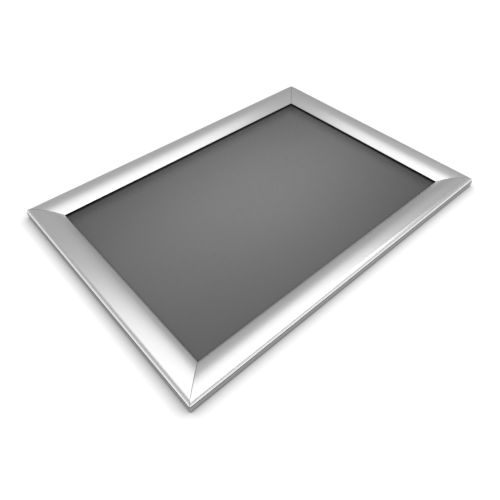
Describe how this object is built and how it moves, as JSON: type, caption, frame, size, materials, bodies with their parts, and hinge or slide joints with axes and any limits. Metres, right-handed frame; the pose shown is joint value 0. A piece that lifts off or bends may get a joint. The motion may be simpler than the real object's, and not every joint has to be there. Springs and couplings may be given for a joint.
{
  "type": "snap frame",
  "caption": "Front-loading clip frame with mitred satin aluminium snap covers that flip open on spring-loaded hinges, a dark back panel and a clear matt sheet.",
  "frame": {"origin": "centre of the frame's outline on the plane of its back", "axes": "+X along the long side, +Y along the short side, +Z out of the face; the frame lies on its back"},
  "size_m": [0.329, 0.242, 0.0097],
  "materials": {
    "base_aluminium": "satin anodised extrusion",
    "cover_aluminium": "satin anodised extrusion with a fine lengthwise grain",
    "spring_steel": "bright rolled spring strip",
    "key_steel": "zinc plated sheet steel",
    "screw_steel": "blackened steel",
    "panel_plastic": "smooth dark grey plastic sheet",
    "clear_sheet": "clear sheet with a matt anti-glare face"
  },
  "bodies": {
    "frame": {"base_rail_bottom": "base_aluminium", "base_rail_right": "base_aluminium", "base_rail_top": "base_aluminium", "base_rail_left": "base_aluminium", "corner_key_bottom_left": "key_steel", "corner_key_bottom_right": "key_steel", "corner_key_top_right": "key_steel", "corner_key_top_left": "key_steel", "corner_key_screws": "screw_steel", "spring_bottom_left": "spring_steel", "spring_bottom_middle": "spring_steel", "spring_bottom_right": "spring_steel", "spring_right_near": "spring_steel", "spring_right_far": "spring_steel", "spring_top_left": "spring_steel", "spring_top_middle": "spring_steel", "spring_top_right": "spring_steel", "spring_left_near": "spring_steel", "spring_left_far": "spring_steel", "back_panel": "panel_plastic", "cover_sheet": "clear_sheet"},
    "cover_bottom": {"snap_cover_bottom": "cover_aluminium"},
    "cover_right": {"snap_cover_right": "cover_aluminium"},
    "cover_top": {"snap_cover_top": "cover_aluminium"},
    "cover_left": {"snap_cover_left": "cover_aluminium"}
  },
  "joints": [
    {"name": "hinge_bottom", "type": "hinge", "parent": "frame", "child": "cover_bottom", "pos_m": [0, -0.1195, 0.005], "axis": [1, 0, 0], "range_deg": [0, 80], "deforming": ["spring_bottom_left", "spring_bottom_middle", "spring_bottom_right"]},
    {"name": "hinge_right", "type": "hinge", "parent": "frame", "child": "cover_right", "pos_m": [0.163, 0, 0.005], "axis": [0, 1, 0], "range_deg": [0, 80], "deforming": ["spring_right_near", "spring_right_far"]},
    {"name": "hinge_top", "type": "hinge", "parent": "frame", "child": "cover_top", "pos_m": [0, 0.1195, 0.005], "axis": [-1, 0, 0], "range_deg": [0, 80], "deforming": ["spring_top_left", "spring_top_middle", "spring_top_right"]},
    {"name": "hinge_left", "type": "hinge", "parent": "frame", "child": "cover_left", "pos_m": [-0.163, 0, 0.005], "axis": [0, -1, 0], "range_deg": [0, 80], "deforming": ["spring_left_near", "spring_left_far"]}
  ]
}
